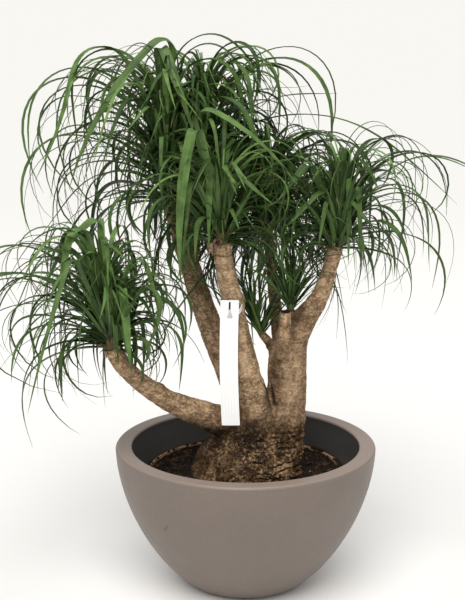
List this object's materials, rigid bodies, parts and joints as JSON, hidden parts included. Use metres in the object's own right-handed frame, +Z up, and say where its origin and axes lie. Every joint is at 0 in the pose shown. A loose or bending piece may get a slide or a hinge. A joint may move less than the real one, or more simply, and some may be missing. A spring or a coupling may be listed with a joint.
{
  "type": "potted ponytail palm",
  "caption": "Branched ponytail palm with a swollen corky trunk and heads of long arching leaves, in a grow pot inside a wide round bowl, with a blank plant label.",
  "frame": {"origin": "middle of the bowl's flat base, on the surface that it stands on", "axes": "+Z up, -Y towards the side that the picture shows, +X to its right"},
  "size_m": [0.828, 0.5713, 0.8562],
  "materials": {
    "bowl": "satin",
    "grow_pot": "matte",
    "soil": "matte",
    "bark": "matte",
    "label": "satin",
    "leaf": "satin"
  },
  "bodies": {
    "root": {"bowl": "bowl", "grow_pot": "grow_pot", "soil": "soil", "trunk": "bark", "tag": "label", "head_back_left": "leaf", "head_top": "leaf", "head_front": "leaf", "head_right": "leaf", "head_left": "leaf", "head_back": "leaf", "sprout_upper": "leaf", "sprout_lower": "leaf"}
  },
  "joints": []
}
